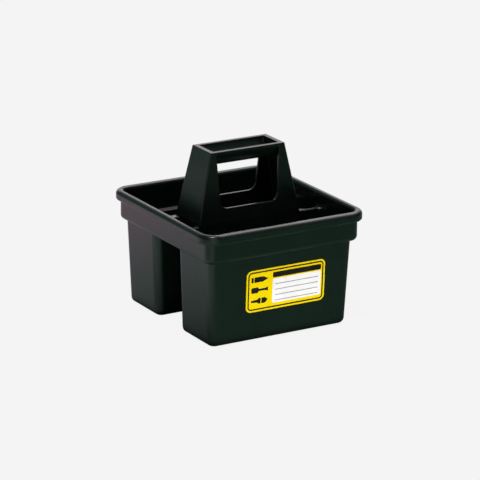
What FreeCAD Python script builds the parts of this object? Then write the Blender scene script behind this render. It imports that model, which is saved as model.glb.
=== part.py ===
import FreeCAD, Part
import os
import math
import Sketcher

# Two-bin carry caddy: a one-piece moulded tub, a hollow snap-on handle and a
# printed label. Millimetres, +Z up, front wall towards -Y, origin on the
# table at the middle of the plan.

V = FreeCAD.Vector
doc = FreeCAD.newDocument("caddy")
sheet = doc.addObject("Spreadsheet::Sheet", "sheet")

SIZES = [
    # outline and levels
    ("rim_x", 150.4, "rim width, left to right"),
    ("rim_y", 158.2, "rim depth, front to back"),
    ("rim_z", 96.3, "height of the rim top"),
    ("rim_band", 8.2, "height of the rim skirt"),
    ("rim_corner", 15.0, "rim corner radius"),
    ("rim_skirt", 2.2, "rim skirt thickness"),
    ("rim_flange", 2.2, "rim top thickness"),
    ("rim_round", 3.4, "round on the rim's outer top edge"),
    ("rim_lip", 2.6, "round on the rim's inner top edge"),
    ("skirt_round", 1.8, "round on the skirt's lower outer edge"),
    ("band_in", 4.6, "shoulder wall set in from the rim"),
    ("band_corner", 8.4, "shoulder corner radius"),
    ("band_z", 71.0, "underside of the shoulder"),
    ("band_round", 4.0, "round under the shoulder"),
    ("cav_in", 6.4, "inner wall set in from the rim"),
    ("shelf_z", 73.8, "inner shelf and saddle floor"),
    # bins
    ("bin_in_top", 9.0, "bin wall set in from the rim, at the shoulder"),
    ("bin_in_low", 11.7, "bin wall set in from the rim, at the table"),
    ("gap_top", 17.1, "half gap between the bins at the shoulder"),
    ("gap_low", 17.6, "half gap between the bins at the table"),
    ("bin_corner", 6.8, "bin corner radius"),
    ("bin_wall", 2.1, "bin wall thickness"),
    ("bin_floor", 2.2, "bin floor thickness"),
    ("bin_round", 4.8, "round under the bin"),
    ("bin_cove", 2.6, "cove inside the bin floor"),
    ("mouth_bevel", 2.0, "bevel round the bin mouth"),
    # saddle
    ("sad_z", 84.8, "top of the saddle side walls"),
    ("sad_bevel", 0.8, "bevel along the top of the saddle walls"),
    ("well_in", 45.3, "inner end of the side wells"),
    ("well_corner", 10.5, "corner radius of the side wells"),
    ("seat_x", 47.1, "half length of the handle seat"),
    ("fit_gap", 0.2, "clearance between handle and collar"),
    ("col_wall", 1.8, "collar wall thickness"),
    ("col_h", 8.2, "collar height above the saddle floor"),
    ("slot_mid", 22.0, "snap slot centre from the middle"),
    ("slot_len", 12.0, "snap slot length"),
    ("slot_low", 2.2, "snap slot lower edge above the saddle floor"),
    ("slot_h", 3.4, "snap slot height"),
    # handle
    ("han_z", 142.8, "height of the handle top"),
    ("han_x", 34.5, "half length of the handle top"),
    ("han_y", 14.7, "half width of the handle top"),
    ("foot_x", 46.9, "half length of the handle foot"),
    ("foot_y", 19.2, "half width of the handle foot"),
    ("flare_z", 85.6, "level where the foot starts to taper"),
    ("han_wall", 2.2, "handle wall thickness"),
    ("han_corner", 1.0, "handle corner radius"),
    ("han_round", 0.7, "round on the handle's outer top edge"),
    ("han_edge", 0.6, "round on the window and tray edges"),
    ("win_z", 96.4, "window sill height"),
    ("win_low", 26.2, "half width of the window at the sill"),
    ("win_top", 29.3, "half width of the window at the top"),
    ("win_corner", 6.5, "window sill corner radius"),
    ("tray_depth", 13.7, "depth of the tray underside below the top"),
    ("tray_in", 11.2, "inner radius of the tray"),
    ("tray_len", 30.1, "half length of the tray"),
    ("lug_len", 11.2, "snap lug length"),
    ("lug_out", 1.4, "snap lug height off the wall"),
    # label
    ("lab_x", 72.8, "label length"),
    ("lab_h", 35.0, "label height"),
    ("lab_mid_x", 3.7, "label centre to the right of the middle"),
    ("lab_mid_z", 42.2, "label centre up the front wall"),
    ("lab_corner", 4.6, "label corner radius"),
    ("lab_t", 0.25, "label film thickness"),
]


class Q:
    """A number together with the sheet formula it comes from."""

    def __init__(self, v, e):
        self.v = v
        self.e = e

    @staticmethod
    def of(o):
        return o if isinstance(o, Q) else Q(float(o), "%.6g" % o)

    def __add__(self, o):
        o = Q.of(o)
        return Q(self.v + o.v, "(%s + %s)" % (self.e, o.e))

    def __sub__(self, o):
        o = Q.of(o)
        return Q(self.v - o.v, "(%s - %s)" % (self.e, o.e))

    def __mul__(self, o):
        o = Q.of(o)
        return Q(self.v * o.v, "(%s * %s)" % (self.e, o.e))

    def __truediv__(self, o):
        o = Q.of(o)
        return Q(self.v / o.v, "(%s / %s)" % (self.e, o.e))

    def __neg__(self):
        return Q(-self.v, "(0 - %s)" % self.e)


D = {}
for row, (alias, value, note) in enumerate(SIZES, start=1):
    sheet.set("A%d" % row, note)
    sheet.set("B%d" % row, "%g" % value)
    sheet.setAlias("B%d" % row, alias)
    D[alias] = Q(value, "sheet." + alias)
doc.recompute()


def new_body(name):
    body = doc.addObject("PartDesign::Body", name)
    body.Label = name
    body.Placement = FreeCAD.Placement(V(0, 0, 0), FreeCAD.Rotation())
    return body


def new_sketch(body, name, role, level=None):
    """A sketch on one of the body's own planes, raised to a sheet level."""
    sk = body.newObject("Sketcher::SketchObject", name)
    base = [f for f in body.Origin.OriginFeatures if f.Role == role][0]
    sk.AttachmentSupport = (base, [""])
    sk.MapMode = "FlatFace"
    if level is not None:
        sk.setExpression("AttachmentOffset.Base.z", level.e)
    return sk


def bind(sk, con, name, q):
    i = sk.addConstraint(con)
    sk.renameConstraint(i, name)
    sk.setExpression("Constraints." + name, q.e)


def at(sk, geo, pos, axis, name, q):
    """Hold a sketch point at a signed distance from the sketch origin."""
    kind = "DistanceX" if axis == "x" else "DistanceY"
    if q.v >= 0:
        bind(sk, Sketcher.Constraint(kind, -1, 1, geo, pos, q.v), name, q)
    else:
        bind(sk, Sketcher.Constraint(kind, geo, pos, -1, 1, -q.v), name, -q)


def round_rect(sk, x0, x1, y0, y1, r, tag="a"):
    """Rounded rectangle held by its four sides and its corner radius."""
    n = sk.GeometryCount
    a, b, c, d, k = x0.v, x1.v, y0.v, y1.v, r.v
    up = V(0, 0, 1)

    def arc(cx, cy, s):
        return Part.ArcOfCircle(
            Part.Circle(V(cx, cy, 0), up, k), math.radians(s), math.radians(s + 90))

    sk.addGeometry([
        Part.LineSegment(V(a + k, c, 0), V(b - k, c, 0)),
        arc(b - k, c + k, 270),
        Part.LineSegment(V(b, c + k, 0), V(b, d - k, 0)),
        arc(b - k, d - k, 0),
        Part.LineSegment(V(b - k, d, 0), V(a + k, d, 0)),
        arc(a + k, d - k, 90),
        Part.LineSegment(V(a, d - k, 0), V(a, c + k, 0)),
        arc(a + k, c + k, 180),
    ], False)
    cons = []
    for i in range(8):
        cons.append(Sketcher.Constraint("Tangent", n + i, 2, n + (i + 1) % 8, 1))
    cons.append(Sketcher.Constraint("Horizontal", n))
    cons.append(Sketcher.Constraint("Vertical", n + 2))
    cons.append(Sketcher.Constraint("Horizontal", n + 4))
    cons.append(Sketcher.Constraint("Vertical", n + 6))
    for i in (3, 5, 7):
        cons.append(Sketcher.Constraint("Equal", n + 1, n + i))
    sk.addConstraint(cons)
    bind(sk, Sketcher.Constraint("Radius", n + 1, k), tag + "_r", r)
    at(sk, n + 6, 1, "x", tag + "_x0", x0)
    at(sk, n + 2, 1, "x", tag + "_x1", x1)
    at(sk, n, 1, "y", tag + "_y0", y0)
    at(sk, n + 4, 1, "y", tag + "_y1", y1)


def polygon(sk, pts, tag="p"):
    """Closed polygon, every corner held by sheet sizes."""
    n = sk.GeometryCount
    m = len(pts)
    for i in range(m):
        p, q = pts[i], pts[(i + 1) % m]
        sk.addGeometry(Part.LineSegment(V(p[0].v, p[1].v, 0), V(q[0].v, q[1].v, 0)), False)
    for i in range(m):
        sk.addConstraint(Sketcher.Constraint("Coincident", n + i, 2, n + (i + 1) % m, 1))
    for i in range(m):
        at(sk, n + i, 1, "x", "%s%d_x" % (tag, i), pts[i][0])
        at(sk, n + i, 1, "y", "%s%d_y" % (tag, i), pts[i][1])


def pad(body, name, sk, length, both=False):
    f = body.newObject("PartDesign::Pad", name)
    f.Profile = sk
    f.setExpression("Length", length.e)
    if both:
        f.SideType = "Symmetric"
    sk.Visibility = False
    doc.recompute()
    return f


def pocket(body, name, sk, length, both=False, flip=False):
    f = body.newObject("PartDesign::Pocket", name)
    f.Profile = sk
    f.setExpression("Length", length.e)
    if both:
        f.SideType = "Symmetric"
    f.Reversed = flip
    before = body.Tip.BaseFeature.Shape.Volume if body.Tip.BaseFeature else 0
    doc.recompute()
    if not f.Shape.Volume < before - 0.01:
        raise RuntimeError("%s removes nothing" % name)
    return f


def loft(body, name, kind, low, high):
    f = body.newObject("PartDesign::" + kind, name)
    f.Profile = low
    f.Sections = [high]
    f.Ruled = True
    doc.recompute()
    return f


def edges_where(shape, test):
    names = []
    for i, e in enumerate(shape.Edges, start=1):
        ts = [e.FirstParameter + (e.LastParameter - e.FirstParameter) * k / 4.0 for k in range(5)]
        if all(test(e.valueAt(t)) for t in ts):
            names.append("Edge%d" % i)
    return names


def fillet(body, name, test, radius):
    base = body.Tip
    names = edges_where(base.Shape, test)
    if not names:
        raise RuntimeError("%s: no edges" % name)
    f = body.newObject("PartDesign::Fillet", name)
    f.Base = (base, names)
    f.setExpression("Radius", radius.e)
    doc.recompute()
    if "Invalid" in f.State or f.Shape.isNull() or not f.Shape.isValid():
        raise RuntimeError("%s failed on %d edges" % (name, len(names)))
    return f


def near(a, b, tol=0.02):
    return abs(a - b) < tol


hx = D["rim_x"] / 2
hy = D["rim_y"] / 2

# --------------------------------------------------------------------------
# Tub: two drafted bins hanging from a stepped rim, bridged by a saddle
# --------------------------------------------------------------------------
tub = new_body("tub")

s = new_sketch(tub, "shoulder_plan", "XY_Plane", D["band_z"])
round_rect(s, -(hx - D["band_in"]), hx - D["band_in"], -(hy - D["band_in"]), hy - D["band_in"],
           D["band_corner"])
pad(tub, "shoulder", s, D["rim_z"] - D["band_z"])

for side, sg in (("front", -1), ("rear", 1)):
    def bin_plan(level, inset, gap, wall, corner, nm):
        sk = new_sketch(tub, nm, "XY_Plane", level)
        out = hy - inset - wall
        mid = gap + wall
        ex = hx - inset - wall
        if sg < 0:
            round_rect(sk, -ex, ex, -out, -mid, corner)
        else:
            round_rect(sk, -ex, ex, mid, out, corner)
        return sk

    low = bin_plan(Q(0.0, "0"), D["bin_in_low"], D["gap_low"], Q(0.0, "0"), D["bin_corner"],
                   side + "_bin_low")
    top = bin_plan(D["band_z"] + 1, D["bin_in_top"], D["gap_top"], Q(0.0, "0"), D["bin_corner"],
                   side + "_bin_top")
    loft(tub, side + "_bin", "AdditiveLoft", low, top)

fillet(tub, "bin_foot_round", lambda p: near(p.z, 0), D["bin_round"])

bx = hx.v - D["band_in"].v
by = hy.v - D["band_in"].v
fillet(tub, "shoulder_round",
       lambda p: near(p.z, D["band_z"].v) and (abs(p.x) > bx - 3.2 or abs(p.y) > by - 3.2),
       D["band_round"])

# rim: a skirt hanging outside the shoulder wall, closed by a flange on top
s = new_sketch(tub, "skirt_plan", "XY_Plane", D["rim_z"] - D["rim_band"])
round_rect(s, -hx, hx, -hy, hy, D["rim_corner"], "o")
ix = hx - D["rim_skirt"]
iy = hy - D["rim_skirt"]
round_rect(s, -ix, ix, -iy, iy, D["rim_corner"] - D["rim_skirt"], "i")
s2 = new_sketch(tub, "flange_plan", "XY_Plane", D["rim_z"] - D["rim_flange"])
round_rect(s2, -hx, hx, -hy, hy, D["rim_corner"])
pad(tub, "flange", s2, D["rim_flange"])
pad(tub, "skirt", s, D["rim_band"])

fillet(tub, "rim_top_round", lambda p: near(p.z, D["rim_z"].v), D["rim_round"])
sx = hx.v - 1.0
sy = hy.v - 1.0
fillet(tub, "skirt_low_round",
       lambda p: near(p.z, D["rim_z"].v - D["rim_band"].v)
       and (abs(p.x) > sx or abs(p.y) > sy
            or math.hypot(abs(p.x) - (hx.v - D["rim_corner"].v),
                          abs(p.y) - (hy.v - D["rim_corner"].v)) > D["rim_corner"].v - 1.0),
       D["skirt_round"])

# hollow above the saddle
cx = hx - D["cav_in"]
cy = hy - D["cav_in"]
s = new_sketch(tub, "mouth_plan", "XY_Plane", D["rim_z"])
round_rect(s, -cx, cx, -cy, cy, D["rim_corner"] - D["cav_in"])
pocket(tub, "mouth", s, D["rim_z"] - D["sad_z"])

# hollow over each bin down to the shelf, then the bins themselves
div = D["gap_top"] + D["bin_wall"]
for side, sg in (("front", -1), ("rear", 1)):
    s = new_sketch(tub, side + "_shelf_plan", "XY_Plane", D["sad_z"])
    if sg < 0:
        round_rect(s, -cx, cx, -cy, -div, D["rim_corner"] - D["cav_in"])
    else:
        round_rect(s, -cx, cx, div, cy, D["rim_corner"] - D["cav_in"])
    pocket(tub, side + "_shelf", s, D["sad_z"] - D["shelf_z"])

for side, sg in (("front", -1), ("rear", 1)):
    def wall_edge(level, grow, nm):
        sk = new_sketch(tub, nm, "XY_Plane", level)
        r = D["rim_corner"] - D["cav_in"]
        if sg < 0:
            round_rect(sk, -cx, cx, -cy, -(div - grow), r)
        else:
            round_rect(sk, -cx, cx, div - grow, cy, r)
        return sk

    low = wall_edge(D["sad_z"] - D["sad_bevel"], Q(0.0, "0"), side + "_wall_edge_low")
    top = wall_edge(D["sad_z"], D["sad_bevel"], side + "_wall_edge_top")
    loft(tub, side + "_wall_edge", "SubtractiveLoft", low, top)

for side, sg in (("front", -1), ("rear", 1)):
    def hollow_plan(level, inset, gap, nm):
        sk = new_sketch(tub, nm, "XY_Plane", level)
        out = hy - inset - D["bin_wall"]
        mid = gap + D["bin_wall"]
        ex = hx - inset - D["bin_wall"]
        r = D["bin_corner"] - D["bin_wall"]
        if sg < 0:
            round_rect(sk, -ex, ex, -out, -mid, r)
        else:
            round_rect(sk, -ex, ex, mid, out, r)
        return sk

    low = hollow_plan(D["bin_floor"], D["bin_in_low"], D["gap_low"], side + "_hollow_low")
    top = hollow_plan(D["shelf_z"], D["bin_in_top"], D["gap_top"], side + "_hollow_top")
    loft(tub, side + "_hollow", "SubtractiveLoft", low, top)

# bevel round three sides of each bin mouth; the fourth is the saddle wall
for side, sg in (("front", -1), ("rear", 1)):
    def mouth_plan(level, grow, nm):
        sk = new_sketch(tub, nm, "XY_Plane", level)
        ex = hx - D["bin_in_top"] - D["bin_wall"] + grow
        out = hy - D["bin_in_top"] - D["bin_wall"] + grow
        mid = div
        r = D["bin_corner"] - D["bin_wall"] + grow
        if sg < 0:
            round_rect(sk, -ex, ex, -out, -mid, r)
        else:
            round_rect(sk, -ex, ex, mid, out, r)
        return sk

    low = mouth_plan(D["shelf_z"] - D["mouth_bevel"], Q(0.0, "0"), side + "_mouth_low")
    top = mouth_plan(D["shelf_z"], D["mouth_bevel"], side + "_mouth_top")
    loft(tub, side + "_mouth", "SubtractiveLoft", low, top)

fillet(tub, "bin_floor_cove", lambda p: near(p.z, D["bin_floor"].v) and abs(p.y) > 15,
       D["bin_cove"])

# side wells in the saddle and the seat for the handle foot
for side, sg in (("left", -1), ("right", 1)):
    s = new_sketch(tub, side + "_well_plan", "XY_Plane", D["sad_z"])
    if sg < 0:
        round_rect(s, -cx, -D["well_in"], -D["gap_top"], D["gap_top"], D["well_corner"])
    else:
        round_rect(s, D["well_in"], cx, -D["gap_top"], D["gap_top"], D["well_corner"])
    pocket(tub, side + "_well", s, D["sad_z"] - D["shelf_z"])

    def well_edge(level, grow, nm):
        sk = new_sketch(tub, nm, "XY_Plane", level)
        y = D["gap_top"] + grow
        r = D["well_corner"] + grow
        if sg < 0:
            round_rect(sk, -cx, -(D["well_in"] - grow), -y, y, r)
        else:
            round_rect(sk, D["well_in"] - grow, cx, -y, y, r)
        return sk

    low = well_edge(D["sad_z"] - D["sad_bevel"], Q(0.0, "0"), side + "_well_edge_low")
    top = well_edge(D["sad_z"], D["sad_bevel"], side + "_well_edge_top")
    loft(tub, side + "_well_edge", "SubtractiveLoft", low, top)

s = new_sketch(tub, "seat_plan", "XY_Plane", D["sad_z"])
seat_y = div + 0.6
polygon(s, [(-D["seat_x"], -seat_y), (D["seat_x"], -seat_y),
            (D["seat_x"], seat_y), (-D["seat_x"], seat_y)])
pocket(tub, "seat", s, D["sad_z"] - D["shelf_z"])

# collar that the hollow handle foot drops over, open underneath
ox = D["foot_x"] - D["han_wall"] - D["fit_gap"]
oy = D["foot_y"] - D["han_wall"] - D["fit_gap"]
kx = ox - D["col_wall"]
ky = oy - D["col_wall"]
s = new_sketch(tub, "collar_plan", "XY_Plane", D["shelf_z"])
round_rect(s, -ox, ox, -oy, oy, Q(1.6, "1.6"), "o")
round_rect(s, -kx, kx, -ky, ky, Q(1.0, "1.0"), "i")
pad(tub, "collar", s, D["col_h"])
s = new_sketch(tub, "collar_bore_plan", "XY_Plane", D["shelf_z"])
round_rect(s, -kx, kx, -ky, ky, Q(1.0, "1.0"))
pocket(tub, "collar_bore", s, D["shelf_z"] - D["band_z"] + 0.5)

for side, sg in (("left", -1), ("right", 1)):
    s = new_sketch(tub, side + "_slot_face", "XZ_Plane")
    m = D["slot_mid"] * sg
    h = D["slot_len"] / 2
    z0 = D["shelf_z"] + D["slot_low"]
    z1 = z0 + D["slot_h"]
    polygon(s, [(m - h, z0), (m + h, z0), (m + h, z1), (m - h, z1)])
    pocket(tub, side + "_slots", s, oy * 2 + 0.6, both=True)

fillet(tub, "rim_lip_round",
       lambda p: near(p.z, D["rim_z"].v)
       and abs(p.x) < hx.v - 5 and abs(p.y) < hy.v - 5, D["rim_lip"])

# --------------------------------------------------------------------------
# Handle: hollow flared tower with a half-round tray on top
# --------------------------------------------------------------------------
handle = new_body("handle")
foot_low = D["shelf_z"]
s = new_sketch(handle, "foot_plan", "XY_Plane", foot_low)
round_rect(s, -D["foot_x"], D["foot_x"], -D["foot_y"], D["foot_y"], D["han_corner"])
pad(handle, "foot", s, D["flare_z"] - foot_low)
s1 = new_sketch(handle, "flare_plan", "XY_Plane", D["flare_z"])
round_rect(s1, -D["foot_x"], D["foot_x"], -D["foot_y"], D["foot_y"], D["han_corner"])
s2 = new_sketch(handle, "top_plan", "XY_Plane", D["han_z"])
round_rect(s2, -D["han_x"], D["han_x"], -D["han_y"], D["han_y"], D["han_corner"])
loft(handle, "tower", "AdditiveLoft", s1, s2)
fillet(handle, "top_round", lambda p: near(p.z, D["han_z"].v), D["han_round"])

# hollow, open underneath
w = D["han_wall"]
rin = Q(0.8, "0.8")
s = new_sketch(handle, "foot_hollow_plan", "XY_Plane", D["flare_z"])
round_rect(s, -(D["foot_x"] - w), D["foot_x"] - w, -(D["foot_y"] - w), D["foot_y"] - w, rin)
pocket(handle, "foot_hollow", s, D["flare_z"] - foot_low)
s1 = new_sketch(handle, "flare_hollow_plan", "XY_Plane", D["flare_z"])
round_rect(s1, -(D["foot_x"] - w), D["foot_x"] - w, -(D["foot_y"] - w), D["foot_y"] - w, rin)
s2 = new_sketch(handle, "top_hollow_plan", "XY_Plane", D["han_z"])
round_rect(s2, -(D["han_x"] - w), D["han_x"] - w, -(D["han_y"] - w), D["han_y"] - w, rin)
loft(handle, "hollow", "SubtractiveLoft", s1, s2)

# hand window through both plates
s = new_sketch(handle, "window_face", "XZ_Plane")
zt = D["han_z"] + 1
slope = (D["win_top"] - D["win_low"]) / (D["han_z"] - D["win_z"])
wt = D["win_top"] + slope
polygon(s, [(-D["win_low"], D["win_z"]), (D["win_low"], D["win_z"]), (wt, zt), (-wt, zt)])
pocket(handle, "window", s, D["foot_y"] * 2 + 4, both=True)
fillet(handle, "window_corners",
       lambda p: near(p.z, D["win_z"].v) and near(abs(p.x), D["win_low"].v), D["win_corner"])



def plate_y(z):
    k = (z - D["flare_z"].v) / (D["han_z"].v - D["flare_z"].v)
    return D["foot_y"].v + (D["han_y"].v - D["foot_y"].v) * max(k, 0)


fillet(handle, "window_outer_edges",
       lambda p: D["win_z"].v - 0.1 < p.z < D["han_z"].v - 0.01
       and near(abs(p.y), plate_y(p.z), 0.08)
       and abs(p.x) < D["win_top"].v + 0.3, D["han_edge"] * 0.8)

# half-round tray bridging the two posts
s = new_sketch(handle, "tray_section", "YZ_Plane")
rr = D["han_round"].v
yo = D["han_y"].v
zh = D["han_z"].v
z1 = zh - rr
zb = zh - D["tray_depth"].v
ra = (yo * yo + (z1 - zb) ** 2) / (2 * (z1 - zb))
zc = zb + ra
a0 = math.atan2(z1 - zc, -yo)
a1 = math.atan2(z1 - zc, yo)
if a0 < 0:
    a0 += 2 * math.pi
if a1 < a0:
    a1 += 2 * math.pi
up = V(0, 0, 1)
s.addGeometry([
    Part.ArcOfCircle(Part.Circle(V(0, zc, 0), up, ra), a0, a1),
    Part.ArcOfCircle(Part.Circle(V(yo - rr, z1, 0), up, rr), 0, math.pi / 2),
    Part.LineSegment(V(yo - rr, zh, 0), V(-(yo - rr), zh, 0)),
    Part.ArcOfCircle(Part.Circle(V(-(yo - rr), z1, 0), up, rr), math.pi / 2, math.pi),
], False)
s.addConstraint([
    Sketcher.Constraint("Coincident", 0, 2, 1, 1),
    Sketcher.Constraint("Coincident", 1, 2, 2, 1),
    Sketcher.Constraint("Coincident", 2, 2, 3, 1),
    Sketcher.Constraint("Coincident", 3, 2, 0, 1),
    Sketcher.Constraint("PointOnObject", 0, 3, -2),
    Sketcher.Constraint("Symmetric", 2, 1, 2, 2, -2),
    Sketcher.Constraint("Equal", 1, 3),
])
bind(s, Sketcher.Constraint("Radius", 1, rr), "edge_r", D["han_round"])
at(s, 2, 1, "y", "top_z", D["han_z"])
at(s, 2, 1, "x", "flat_y", D["han_y"] - D["han_round"])
at(s, 0, 2, "x", "side_y", D["han_y"])
at(s, 0, 2, "y", "side_z", D["han_z"] - D["han_round"])
tray_z1 = D["tray_depth"] - D["han_round"]
tray_r = (D["han_y"] * D["han_y"] + tray_z1 * tray_z1) / (tray_z1 * 2)
bind(s, Sketcher.Constraint("Radius", 0, ra), "tray_r", tray_r)
at(s, 3, 2, "y", "side_z2", D["han_z"] - D["han_round"])
doc.recompute()
lean = math.degrees(math.atan2(D["foot_x"].v - D["han_x"].v, zh - D["flare_z"].v))
stop = handle.newObject("PartDesign::Plane", "end_wall_middle")
base = [f for f in handle.Origin.OriginFeatures if f.Role == "YZ_Plane"][0]
stop.AttachmentSupport = (base, [""])
stop.MapMode = "FlatFace"
stop.AttachmentOffset = FreeCAD.Placement(V(0, zh, D["han_x"].v - w.v * 0.6),
                                          FreeCAD.Rotation(V(1, 0, 0), -lean))
stop.setExpression("AttachmentOffset.Base.y", D["han_z"].e)
stop.setExpression("AttachmentOffset.Base.z", (D["han_x"] - w * 0.6).e)
doc.recompute()
tray = handle.newObject("PartDesign::Pad", "tray_half")
tray.Profile = s
tray.Type = "UpToFace"
tray.UpToFace = (stop, [""])
doc.recompute()
twin = handle.newObject("PartDesign::Mirrored", "tray_twin")
twin.Originals = [tray]
twin.MirrorPlane = (base, [""])
handle.Tip = twin
doc.recompute()

s = new_sketch(handle, "tray_hollow_section", "YZ_Plane")
ti = D["tray_in"].v
s.addGeometry([
    Part.ArcOfCircle(Part.Circle(V(0, zh, 0), up, ti), math.pi, 2 * math.pi),
    Part.LineSegment(V(ti, zh, 0), V(-ti, zh, 0)),
], False)
s.addConstraint([
    Sketcher.Constraint("Coincident", 0, 2, 1, 1),
    Sketcher.Constraint("Coincident", 1, 2, 0, 1),
    Sketcher.Constraint("PointOnObject", 0, 3, -2),
    Sketcher.Constraint("Horizontal", 1),
    Sketcher.Constraint("PointOnObject", 0, 3, 1),
])
bind(s, Sketcher.Constraint("Radius", 0, ti), "tray_in", D["tray_in"])
at(s, 1, 1, "y", "top_z", D["han_z"])
pocket(handle, "tray_hollow", s, D["tray_len"] * 2, both=True)

fillet(handle, "tray_ends",
       lambda p: near(abs(p.x), D["tray_len"].v) and p.z < zh + 0.01
       and abs(math.hypot(p.y, p.z - zh) - ti) < 0.02, D["han_edge"] * 2)
fillet(handle, "tray_lip",
       lambda p: near(p.z, zh) and abs(p.x) < D["tray_len"].v + 0.1 and abs(p.y) < ti + 0.1,
       D["han_edge"])

fillet(handle, "window_inner_edges",
       lambda p: D["win_z"].v - 0.1 < p.z < D["han_z"].v - 0.01
       and near(abs(p.y), plate_y(p.z) - w.v, 0.08)
       and abs(p.x) < D["win_top"].v + 0.3, D["han_edge"] * 0.8)

# snap lugs that catch in the collar slots
iy = D["foot_y"] - w
for side, sg in (("front", -1), ("rear", 1)):
    for end, sm in (("left", -1), ("right", 1)):
        s = new_sketch(handle, "%s_%s_lug_face" % (side, end), "YZ_Plane", D["slot_mid"] * sm)
        z0 = D["shelf_z"] + D["slot_low"] + 0.3
        z1q = D["shelf_z"] + D["slot_low"] + D["slot_h"] - 0.3
        root = iy + 0.3
        tip = iy - D["lug_out"]
        if sg < 0:
            root, tip = -root, -tip
        polygon(s, [(root, z0), (tip, z1q - 1.4), (tip, z1q), (root, z1q)])
        pad(handle, "%s_%s_lug" % (side, end), s, D["lug_len"], both=True)

# --------------------------------------------------------------------------
# Label: printed film lying on the drafted front wall
# --------------------------------------------------------------------------
label = new_body("label")
s = new_sketch(label, "label_face", "XZ_Plane")
lx = D["lab_x"] / 2
lz = D["lab_h"] / 2
round_rect(s, D["lab_mid_x"] - lx, D["lab_mid_x"] + lx, D["lab_mid_z"] - lz, D["lab_mid_z"] + lz,
           D["lab_corner"])
pad(label, "film", s, D["lab_t"])
draft = math.degrees(math.atan((D["bin_in_low"].v - D["bin_in_top"].v) / (D["band_z"].v + 1)))
label.Placement = FreeCAD.Placement(V(0, -(hy.v - D["bin_in_low"].v), 0),
                                    FreeCAD.Rotation(V(1, 0, 0), draft))
label.setExpression("Placement.Base.y", (-(hy - D["bin_in_low"])).e)
doc.recompute()

# --------------------------------------------------------------------------
# Check every object, then write the pieces
# --------------------------------------------------------------------------
for o in doc.Objects:
    if "Invalid" in o.State or "Error" in o.State:
        raise RuntimeError("%s is %s" % (o.Name, o.State))
os.makedirs("parts", exist_ok=True)
for body in (tub, handle, label):
    shape = body.Shape
    if shape.isNull() or not shape.isValid() or len(shape.Solids) != 1:
        raise RuntimeError("%s is not one valid solid" % body.Label)
    shape.exportStep("parts/%s.step" % body.Label)
    b = shape.BoundBox
    print("%s  %.1f x %.1f x %.1f  z %.1f..%.1f  %.1f cm3" % (
        body.Label, b.XLength, b.YLength, b.ZLength, b.ZMin, b.ZMax, shape.Volume / 1000))
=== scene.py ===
import math

import bmesh
import bpy
from mathutils import Matrix, Vector


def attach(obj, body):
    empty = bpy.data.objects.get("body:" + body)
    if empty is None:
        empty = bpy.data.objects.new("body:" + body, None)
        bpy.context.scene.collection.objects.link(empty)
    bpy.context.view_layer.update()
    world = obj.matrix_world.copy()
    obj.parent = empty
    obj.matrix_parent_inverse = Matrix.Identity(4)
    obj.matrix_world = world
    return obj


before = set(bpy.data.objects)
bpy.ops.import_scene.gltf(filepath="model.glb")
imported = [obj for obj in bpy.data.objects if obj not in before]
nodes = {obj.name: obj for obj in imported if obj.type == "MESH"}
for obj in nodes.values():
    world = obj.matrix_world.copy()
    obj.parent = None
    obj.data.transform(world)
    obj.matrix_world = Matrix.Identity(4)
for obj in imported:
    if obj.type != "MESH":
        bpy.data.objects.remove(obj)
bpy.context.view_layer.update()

scene = bpy.context.scene

# ---------------------------------------------------------------------------
# Camera: long lens from the front left, a little above the rim
# ---------------------------------------------------------------------------
AZ, EL, ROLL = math.radians(-30.99), math.radians(17.80), math.radians(0.71)
DIST = 2.2649
TARGET = Vector((0.00244, 0.0, 0.06102))
LENS_PX = 2791.0

back = Vector((math.sin(AZ) * math.cos(EL), -math.cos(AZ) * math.cos(EL), math.sin(EL)))
right = Vector((math.cos(AZ), math.sin(AZ), 0.0))
up = back.cross(right)
r2 = right * math.cos(ROLL) + up * math.sin(ROLL)
u2 = up * math.cos(ROLL) - right * math.sin(ROLL)
cam_data = bpy.data.cameras.new("camera")
cam_data.sensor_fit = "HORIZONTAL"
cam_data.sensor_width = 36.0
cam_data.lens = LENS_PX / 480.0 * 36.0
cam_data.clip_start = 0.05
cam_data.clip_end = 60.0
cam = bpy.data.objects.new("camera", cam_data)
scene.collection.objects.link(cam)
pos = TARGET + back * DIST
cam.matrix_world = Matrix((
    (r2.x, u2.x, back.x, pos.x),
    (r2.y, u2.y, back.y, pos.y),
    (r2.z, u2.z, back.z, pos.z),
    (0, 0, 0, 1)))
scene.camera = cam

scene.view_settings.view_transform = "Standard"
scene.view_settings.look = "None"
scene.view_settings.exposure = 0.0
scene.view_settings.gamma = 1.0


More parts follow.
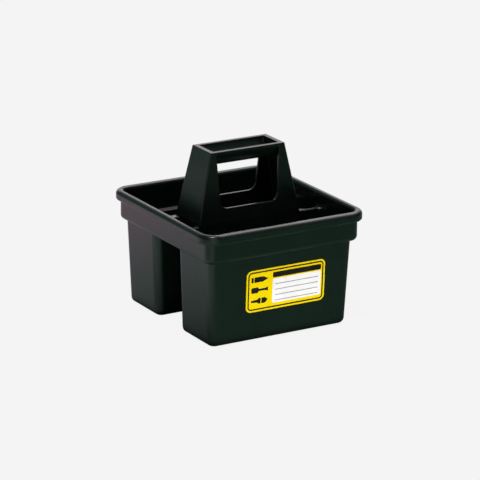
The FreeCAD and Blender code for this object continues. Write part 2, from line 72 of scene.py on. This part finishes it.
# ---------------------------------------------------------------------------
# Node helpers
# ---------------------------------------------------------------------------
class Tree:
    def __init__(self, tree):
        self.t = tree
        tree.nodes.clear()

    def add(self, kind, **props):
        n = self.t.nodes.new(kind)
        for k, v in props.items():
            setattr(n, k, v)
        return n

    def link(self, a, b):
        self.t.links.new(a, b)

    def feed(self, sock, v):
        if hasattr(v, "is_output"):
            self.link(v, sock)
        else:
            sock.default_value = v

    def math(self, op, a, b=0.0, c=None, clamp=False):
        n = self.add("ShaderNodeMath", operation=op, use_clamp=clamp)
        self.feed(n.inputs[0], a)
        self.feed(n.inputs[1], b)
        if c is not None:
            self.feed(n.inputs[2], c)
        return n.outputs[0]

    def ramp(self, v, lo, hi, a=0.0, b=1.0, smooth=True):
        n = self.add("ShaderNodeMapRange",
                     interpolation_type="SMOOTHSTEP" if smooth else "LINEAR", clamp=True)
        self.feed(n.inputs["Value"], v)
        self.feed(n.inputs["From Min"], lo)
        self.feed(n.inputs["From Max"], hi)
        self.feed(n.inputs["To Min"], a)
        self.feed(n.inputs["To Max"], b)
        return n.outputs["Result"]

    def noise(self, vec, scale, detail=2.0, rough=0.5, lac=2.0):
        n = self.add("ShaderNodeTexNoise", noise_dimensions="3D")
        self.link(vec, n.inputs["Vector"])
        n.inputs["Scale"].default_value = scale
        n.inputs["Detail"].default_value = detail
        n.inputs["Roughness"].default_value = rough
        n.inputs["Lacunarity"].default_value = lac
        return n.outputs["Fac"]

    def mix(self, f, a, b):
        n = self.add("ShaderNodeMix", data_type="RGBA")
        self.feed(n.inputs[0], f)
        self.feed(n.inputs[6], a)
        self.feed(n.inputs[7], b)
        return n.outputs[2]


def new_material(name):
    m = bpy.data.materials.new(name)
    m.use_nodes = True
    return m, Tree(m.node_tree)


# ---------------------------------------------------------------------------
# Moulded plastic: very dark green-black, satin, with a fine spark-eroded
# grain, a slow flow waviness, and dust and rub marks along proud edges
# ---------------------------------------------------------------------------
def plastic(name, tint):
    m, t = new_material(name)
    out = t.add("ShaderNodeOutputMaterial")
    b = t.add("ShaderNodeBsdfPrincipled")
    t.link(b.outputs[0], out.inputs[0])
    co = t.add("ShaderNodeTexCoord").outputs["Object"]
    grain = t.noise(co, 2600.0, 3.0, 0.6)
    pits = t.noise(co, 900.0, 2.0, 0.5)
    flow = t.noise(co, 16.0, 2.0, 0.45)
    cloud = t.noise(co, 55.0, 4.0, 0.6)
    geo = t.add("ShaderNodeNewGeometry")
    edge = t.ramp(geo.outputs["Pointiness"], 0.515, 0.58)
    rub = t.math("MULTIPLY", edge, t.ramp(cloud, 0.42, 0.66))
    base = t.mix(t.ramp(cloud, 0.3, 0.7), tint[0], tint[1])
    base = t.mix(t.math("MULTIPLY", rub, 0.35), base, tint[2])
    t.link(base, b.inputs["Base Color"])
    rough = t.math("ADD", t.ramp(cloud, 0.25, 0.75, 0.27, 0.33),
                   t.ramp(grain, 0.3, 0.7, -0.02, 0.03))
    rough = t.math("ADD", rough, t.math("MULTIPLY", rub, 0.05))
    t.link(rough, b.inputs["Roughness"])
    b.inputs["IOR"].default_value = 1.49
    b.inputs["Specular IOR Level"].default_value = 0.5
    h = t.math("ADD", t.math("MULTIPLY", grain, 0.5), t.math("MULTIPLY", pits, 0.35))
    b1 = t.add("ShaderNodeBump")
    b1.inputs["Strength"].default_value = 0.22
    b1.inputs["Distance"].default_value = 0.00006
    t.link(h, b1.inputs["Height"])
    b2 = t.add("ShaderNodeBump")
    b2.inputs["Strength"].default_value = 0.14
    b2.inputs["Distance"].default_value = 0.0006
    t.link(flow, b2.inputs["Height"])
    t.link(b1.outputs[0], b2.inputs["Normal"])
    t.link(b2.outputs[0], b.inputs["Normal"])
    return m


tub_mat = plastic("moulded_plastic_tub", (
    (0.0020, 0.0052, 0.0033, 1), (0.0026, 0.0063, 0.0041, 1), (0.020, 0.032, 0.026, 1)))
handle_mat = plastic("moulded_plastic_handle", (
    (0.0021, 0.0053, 0.0034, 1), (0.0026, 0.0064, 0.0042, 1), (0.020, 0.032, 0.026, 1)))


def dress(obj, mat):
    obj.data.materials.clear()
    obj.data.materials.append(mat)


dress(nodes["tub"], tub_mat)
dress(nodes["handle"], handle_mat)


# ---------------------------------------------------------------------------
# Label: satin yellow film with printed layers
# ---------------------------------------------------------------------------
def film(name, col, col2, rough):
    m, t = new_material(name)
    out = t.add("ShaderNodeOutputMaterial")
    b = t.add("ShaderNodeBsdfPrincipled")
    t.link(b.outputs[0], out.inputs[0])
    co = t.add("ShaderNodeTexCoord").outputs["Object"]
    fibre = t.noise(co, 1400.0, 3.0, 0.6)
    mott = t.noise(co, 120.0, 3.0, 0.55)
    t.link(t.mix(t.ramp(mott, 0.3, 0.7), col, col2), b.inputs["Base Color"])
    t.link(t.ramp(fibre, 0.3, 0.7, rough - 0.04, rough + 0.05), b.inputs["Roughness"])
    b.inputs["IOR"].default_value = 1.48
    b.inputs["Specular IOR Level"].default_value = 0.015
    bp = t.add("ShaderNodeBump")
    bp.inputs["Strength"].default_value = 0.12
    bp.inputs["Distance"].default_value = 0.00004
    t.link(fibre, bp.inputs["Height"])
    t.link(bp.outputs[0], b.inputs["Normal"])
    return m


yellow = film("label_yellow", (0.88, 0.655, 0.0006, 1), (0.92, 0.690, 0.0010, 1), 0.42)
white = film("label_white", (0.86, 0.86, 0.84, 1), (0.92, 0.92, 0.90, 1), 0.55)
black = film("label_black", (0.010, 0.010, 0.010, 1), (0.016, 0.016, 0.015, 1), 0.40)
grey = film("label_grey", (0.22, 0.22, 0.21, 1), (0.27, 0.27, 0.26, 1), 0.5)
dress(nodes["label"], yellow)

# the drafted front wall: foot line y, lean, and the middle of the label on it
LEAN = math.atan((11.7 - 9.0) / 72.0)
FOOT_Y = -(158.2 / 2 - 11.7)
LAB = (3.7, 42.2)
LAB_SIZE = (72.8, 35.0)
FILM = 0.25


def on_label(u, v, h):
    """Label millimetres (right, up, out of the wall) to row metres."""
    x = LAB[0] + u
    s = LAB[1] + v
    y = FOOT_Y - math.sin(LEAN) * s - math.cos(LEAN) * h
    z = math.cos(LEAN) * s - math.sin(LEAN) * h
    return Vector((x, y, z)) * 0.001


def round_outline(w, h, r, n=10):
    pts = []
    for cx, cy, a in ((w / 2 - r, h / 2 - r, 0), (-w / 2 + r, h / 2 - r, 90),
                      (-w / 2 + r, -h / 2 + r, 180), (w / 2 - r, -h / 2 + r, 270)):
        for i in range(n + 1):
            q = math.radians(a + 90.0 * i / n)
            pts.append((cx + r * math.cos(q), cy + r * math.sin(q)))
    return pts


def print_piece(name, shapes, mat, low, high):
    """Thin closed prisms of ink. A shape is an outline or (outline, hole)."""
    bm = bmesh.new()
    for sh in shapes:
        if isinstance(sh, tuple) and len(sh) == 2 and isinstance(sh[0], list):
            outer, inner = sh
            n = len(outer)
            ring = {}
            for tag, pts in (("o", outer), ("i", inner)):
                for lv, h in (("l", low), ("h", high)):
                    ring[tag + lv] = [bm.verts.new(on_label(u, v, h)) for u, v in pts]
            for i in range(n):
                j = (i + 1) % n
                bm.faces.new((ring["oh"][i], ring["oh"][j], ring["ih"][j], ring["ih"][i]))
                bm.faces.new((ring["ol"][j], ring["ol"][i], ring["il"][i], ring["il"][j]))
                bm.faces.new((ring["ol"][i], ring["ol"][j], ring["oh"][j], ring["oh"][i]))
                bm.faces.new((ring["il"][j], ring["il"][i], ring["ih"][i], ring["ih"][j]))
        else:
            lo = [bm.verts.new(on_label(u, v, low)) for u, v in sh]
            hi = [bm.verts.new(on_label(u, v, high)) for u, v in sh]
            n = len(sh)
            bm.faces.new(hi)
            bm.faces.new(list(reversed(lo)))
            for i in range(n):
                j = (i + 1) % n
                bm.faces.new((lo[i], lo[j], hi[j], hi[i]))
    bmesh.ops.recalc_face_normals(bm, faces=bm.faces[:])
    me = bpy.data.meshes.new(name)
    bm.to_mesh(me)
    bm.free()
    ob = bpy.data.objects.new(name, me)
    scene.collection.objects.link(ob)
    me.materials.append(mat)
    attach(ob, "root")
    return ob


def shift(pts, du, dv, turn=0.0):
    c, s = math.cos(turn), math.sin(turn)
    return [(du + c * u - s * v, dv + s * u + c * v) for u, v in pts]


def bar(u0, v0, u1, v1):
    return [(u0, v0), (u1, v0), (u1, v1), (u0, v1)]


W, H = LAB_SIZE


def disc(u, v, r, n=20):
    return [(u + r * math.cos(2 * math.pi * i / n), v + r * math.sin(2 * math.pi * i / n))
            for i in range(n)]


INK0, INK1 = FILM - 0.01, FILM + 0.02
print_piece("label_keyline", [(round_outline(W - 2.8, H - 2.8, 3.4, 12),
                               round_outline(W - 5.2, H - 5.2, 2.2, 12))], black, INK0, INK1)

# write-on panel at the right, under a plain heading bar
PU, PV, PW, PH = 10.2, -2.3, 45.0, 20.4
print_piece("label_panel", [shift(round_outline(PW, PH, 1.2, 8), PU, PV)], white, INK0, INK1)
print_piece("label_heading", [shift(round_outline(PW, 4.6, 1.2, 8), PU, 11.2)],
            black, INK0, INK1)
print_piece("label_rules", [bar(PU - 20.0, PV + k - 0.3, PU + 20.0, PV + k + 0.3)
                            for k in (5.6, 1.0, -3.6, -8.2)], grey, FILM + 0.01, FILM + 0.035)

# column of plain tool silhouettes at the left
IU = -24.3
icons = []
# pencil
icons += [shift(q, IU, 9.4) for q in (
    bar(-7.6, -2.2, -5.7, 2.2),
    [(-5.0, -2.2), (3.2, -2.2), (7.8, 0.0), (3.2, 2.2), (-5.0, 2.2)])]
# screwdriver
icons += [shift(q, IU, 0.6) for q in (
    [(-7.6, -1.6), (-6.8, -2.4), (-1.6, -2.4), (-0.5, -0.9), (5.0, -0.9), (7.8, -1.8),
     (7.8, 1.8), (5.0, 0.9), (-0.5, 0.9), (-1.6, 2.4), (-6.8, 2.4), (-7.6, 1.6)],)]
# paint brush
icons += [shift(q, IU, -8.6) for q in (
    [(-7.6, -0.8), (-1.6, -1.3), (-0.8, -2.3), (1.3, -2.3), (1.3, 2.3), (-0.8, 2.3),
     (-1.6, 1.3), (-7.6, 0.8)],
    [(2.0, -2.3), (5.4, -2.4), (7.8, 0.3), (5.2, 2.3), (2.0, 2.3)])]
print_piece("label_icons", icons, black, INK0, INK1)

# ---------------------------------------------------------------------------
# Floor, and soft studio light
# ---------------------------------------------------------------------------
def sheet_object(name, corners, z):
    me = bpy.data.meshes.new(name)
    bm = bmesh.new()
    bm.faces.new([bm.verts.new((x, y, z)) for x, y in corners])
    bm.to_mesh(me)
    bm.free()
    ob = bpy.data.objects.new(name, me)
    scene.collection.objects.link(ob)
    return ob


S = 14.0
floor = sheet_object("floor", ((-S, -S), (S, -S), (S, S), (-S, S)), -0.0003)
fm, t = new_material("floor")
out = t.add("ShaderNodeOutputMaterial")
em = t.add("ShaderNodeEmission")
em.inputs["Color"].default_value = (1.0, 1.0, 1.0, 1)
em.inputs["Strength"].default_value = 0.888
df = t.add("ShaderNodeBsdfDiffuse")
df.inputs["Color"].default_value = (0.03, 0.03, 0.03, 1)
ad = t.add("ShaderNodeAddShader")
t.link(em.outputs[0], ad.inputs[0])
t.link(df.outputs[0], ad.inputs[1])
t.link(ad.outputs[0], out.inputs[0])
fm.cycles.emission_sampling = "NONE"
floor.data.materials.append(fm)
floor.visible_glossy = False
floor.visible_diffuse = False

# the pale table as the satin faces mirror it, a card that glows for reflections only:
# dimmer close to the foot, with painted shade there, and brighter towards the back of the sweep
card = sheet_object("table_card", ((-1.6, -1.3), (1.3, -1.3), (1.3, 1.1), (-1.6, 1.1)), -0.00025)
cm, t = new_material("table_card")
out = t.add("ShaderNodeOutputMaterial")
em = t.add("ShaderNodeEmission")
xyz = t.add("ShaderNodeSeparateXYZ")
t.link(t.add("ShaderNodeNewGeometry").outputs["Position"], xyz.inputs[0])
rise = t.math("ADD", t.ramp(xyz.outputs["Y"], -0.10, 0.12, 0.02, 0.40, smooth=False),
              t.ramp(xyz.outputs["Y"], 0.12, 0.30, 0.0, 0.46, smooth=False))
fade = t.ramp(xyz.outputs["Y"], 0.45, 0.95, 1.0, 0.10)
# painted shadow: the card goes dark under the caddy, where the caddy shades the table
under = t.math("MULTIPLY",
               t.ramp(t.math("ABSOLUTE", xyz.outputs["X"]), 0.058, 0.078, 1.0, 0.0),
               t.ramp(t.math("ABSOLUTE", xyz.outputs["Y"]), 0.060, 0.080, 1.0, 0.0))
glow = t.math("MULTIPLY", t.math("MULTIPLY", rise, fade), t.math("SUBTRACT", 1.0, under))
t.link(glow, em.inputs["Strength"])
tone = t.add("ShaderNodeCombineColor")
t.link(t.ramp(glow, 0.2, 0.8, 1.0, 1.08, smooth=False), tone.inputs[0])
t.link(t.ramp(glow, 0.2, 0.8, 1.18, 0.78, smooth=False), tone.inputs[1])
t.link(t.ramp(glow, 0.2, 0.8, 1.16, 0.97, smooth=False), tone.inputs[2])
t.link(tone.outputs[0], em.inputs["Color"])
near_front = t.math("MULTIPLY", t.ramp(xyz.outputs["Y"], -0.10, -0.05, 1.0, 0.0),
                    t.ramp(xyz.outputs["Y"], -0.80, -0.40, 0.38, 1.0))
near_front = t.math("MULTIPLY", near_front, t.ramp(xyz.outputs["X"], -0.14, -0.07))
em2 = t.add("ShaderNodeEmission")
em2.inputs["Color"].default_value = (0.39, 1.0, 0.64, 1)
t.link(t.math("MULTIPLY", near_front, 0.20), em2.inputs["Strength"])
# a paler patch off the front left corner
slant = t.math("ADD", xyz.outputs["Y"], t.math("MULTIPLY", xyz.outputs["X"], 1.667))
patch = t.math("MULTIPLY", t.ramp(slant, -0.295, -0.195, 1.0, 0.0),
               t.ramp(xyz.outputs["X"], -0.18, -0.06, 1.0, 0.0))
patch = t.math("MULTIPLY", patch, t.ramp(xyz.outputs["X"], -0.36, -0.20, 0.25, 1.0))
em3 = t.add("ShaderNodeEmission")
em3.inputs["Color"].default_value = (0.76, 1.0, 0.91, 1)
t.link(t.math("MULTIPLY", patch, 0.70), em3.inputs["Strength"])
both = t.add("ShaderNodeAddShader")
t.link(em.outputs[0], both.inputs[0])
t.link(em2.outputs[0], both.inputs[1])
three = t.add("ShaderNodeAddShader")
t.link(both.outputs[0], three.inputs[0])
t.link(em3.outputs[0], three.inputs[1])
t.link(three.outputs[0], out.inputs[0])
cm.cycles.emission_sampling = "NONE"
card.data.materials.append(cm)
card.visible_camera = False
card.visible_diffuse = False
card.visible_shadow = False
card.visible_transmission = False

# pale backdrop all round, for the camera only
bm = bmesh.new()
bmesh.ops.create_uvsphere(bm, u_segments=48, v_segments=24, radius=11.0)
bmesh.ops.delete(bm, geom=[v for v in bm.verts if v.co.z < -1.5], context="VERTS")
me = bpy.data.meshes.new("backdrop")
bm.to_mesh(me)
bm.free()
backdrop = bpy.data.objects.new("backdrop", me)
scene.collection.objects.link(backdrop)
bd, t = new_material("backdrop")
out = t.add("ShaderNodeOutputMaterial")
em = t.add("ShaderNodeEmission")
em.inputs["Color"].default_value = (1.0, 1.0, 1.0, 1)
em.inputs["Strength"].default_value = 0.905
t.link(em.outputs[0], out.inputs[0])
bd.cycles.emission_sampling = "NONE"
me.materials.append(bd)
backdrop.visible_diffuse = False
backdrop.visible_glossy = False
backdrop.visible_shadow = False
backdrop.visible_transmission = False

world = bpy.data.worlds.new("studio")
scene.world = world
world.use_nodes = True
t = Tree(world.node_tree)
out = t.add("ShaderNodeOutputWorld")
bg = t.add("ShaderNodeBackground")
way = t.add("ShaderNodeTexCoord").outputs["Generated"]


def lobe(axis, lo, hi, strength):
    a = Vector(axis).normalized()
    n = t.add("ShaderNodeVectorMath", operation="DOT_PRODUCT")
    t.link(way, n.inputs[0])
    n.inputs[1].default_value = a
    return t.ramp(n.outputs["Value"], lo, hi, 0.0, strength)


# what the satin faces mirror of the room: dim walls, the pale sweep that rises
# behind to the right, a window behind the camera and soft boxes overhead
axes = t.add("ShaderNodeSeparateXYZ")
t.link(way, axes.inputs[0])
sweep = t.math("MULTIPLY", t.ramp(axes.outputs["Z"], -0.06, 0.02),
               t.ramp(axes.outputs["Z"], 0.42, 0.62, 1.0, 0.0))
parts = [
    t.math("MULTIPLY", sweep, lobe((0.52, 0.82, 0.22), 0.78, 0.95, 1.2)),
    lobe((0.49, 0.10, 0.865), 0.950, 0.980, 2.0),
    lobe((0.49, -0.30, 0.82), 0.984, 0.994, 1.9),
    lobe((0.36, 0.68, 0.63), 0.972, 0.990, 2.8),
]
total = parts[0]
for q in parts[1:]:
    total = t.math("ADD", q, total)
t.link(total, bg.inputs["Strength"])
bg.inputs["Color"].default_value = (1.0, 0.80, 0.87, 1)
bg1 = t.add("ShaderNodeBackground")
t.link(t.math("ADD", lobe((-0.50, -0.84, 0.22), 0.90, 0.985, 0.9), 0.06), bg1.inputs["Strength"])
bg1.inputs["Color"].default_value = (1.0, 0.975, 0.985, 1)
bg2 = t.add("ShaderNodeBackground")
t.link(t.math("ADD", t.ramp(axes.outputs["Y"], 0.30, 0.75, 0.0, 0.20),
              lobe((0.49, -0.75, 0.46), 0.86, 0.97, 0.17)), bg2.inputs["Strength"])
bg2.inputs["Color"].default_value = (0.36, 1.0, 0.78, 1)
both = t.add("ShaderNodeAddShader")
t.link(bg.outputs[0], both.inputs[0])
t.link(bg2.outputs[0], both.inputs[1])
room = t.add("ShaderNodeAddShader")
t.link(both.outputs[0], room.inputs[0])
t.link(bg1.outputs[0], room.inputs[1])
t.link(room.outputs[0], out.inputs[0])
world.cycles.sampling_method = "NONE"
world.cycles_visibility.diffuse = False
world.cycles_visibility.camera = False


def area(name, loc, aim, size, power, glossy=False):
    d = bpy.data.lights.new(name, "AREA")
    d.shape = "RECTANGLE"
    d.size, d.size_y = size
    d.energy = power
    o = bpy.data.objects.new(name, d)
    scene.collection.objects.link(o)
    o.location = loc
    o.rotation_euler = (Vector(aim) - Vector(loc)).to_track_quat("-Z", "Y").to_euler()
    o.visible_glossy = glossy
    o.visible_camera = False
    return o


# light that the pale table throws back up, on all four sides of the caddy
GLOW = 2.05
NEAR_X, NEAR_Y = 0.070, 0.072
for name, x0, x1, y0, y1 in (
        ("bounce_front", -1.1, 1.1, -0.85, -NEAR_Y),
        ("bounce_back", -1.1, 1.1, NEAR_Y, 0.85),
        ("bounce_left", -1.6, -NEAR_X, -NEAR_Y, NEAR_Y),
        ("bounce_right", NEAR_X, 1.6, -NEAR_Y, NEAR_Y)):
    cx, cy, sx, sy = (x0 + x1) / 2, (y0 + y1) / 2, x1 - x0, y1 - y0
    area(name, (cx, cy, 0.0005), (cx, cy, 1.0), (sx, sy), GLOW * math.pi * sx * sy)

# faint fill from the left
area("fill_left", (-1.9, -0.1, 0.55), (0, 0, 0.1), (1.4, 0.8), 0.9 * math.pi * 1.12)

# soft box overhead to the right and behind, and a small lamp near the zenith
KEY = Vector((0.50, 0.30, 0.81)).normalized() * 1.9
area("key_box", KEY, (0, 0, 0.08), (1.1, 1.1), 3.0 * math.pi * 1.21, True)
LAMP = Vector((-0.22, -0.24, 0.93)).normalized() * 2.2
area("lamp", LAMP, (0, 0, 0.08), (0.2, 0.2), 150.0 * math.pi * 0.04, True)
